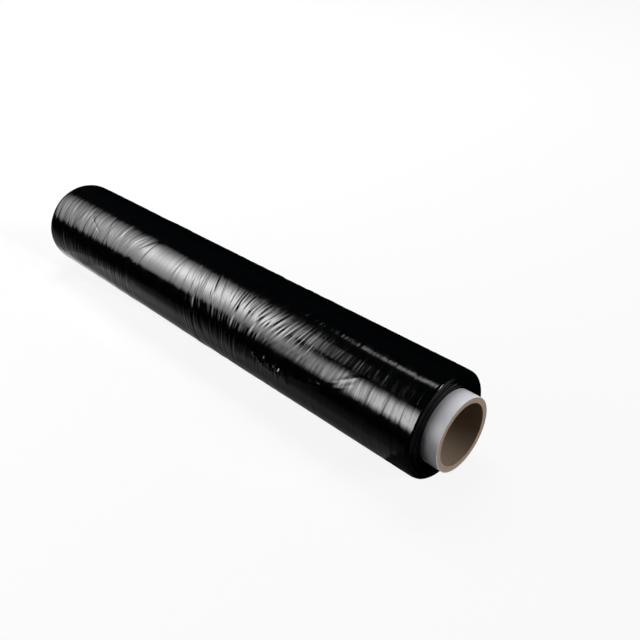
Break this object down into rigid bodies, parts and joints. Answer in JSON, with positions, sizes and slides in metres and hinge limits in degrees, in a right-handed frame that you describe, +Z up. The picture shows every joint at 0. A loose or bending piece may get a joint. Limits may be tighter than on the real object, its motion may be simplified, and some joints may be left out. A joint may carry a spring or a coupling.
{
  "type": "stretch wrap roll",
  "caption": "Hand roll of black stretch film wound on a cardboard core tube that stands out at both ends, lying on its side.",
  "frame": {"origin": "on the floor under the middle of the roll, in the plane of the flat spot that the roll rests on", "axes": "+X along the roll's axis, +Z up, +Y across the roll"},
  "size_m": [0.53, 0.0881, 0.0876],
  "materials": {
    "black_film": "glossy stretch film",
    "core_card": "matte spiral wound card with a white paper outer ply"
  },
  "bodies": {
    "root": {"film_roll": "black_film", "core_tube": "core_card"}
  },
  "joints": []
}
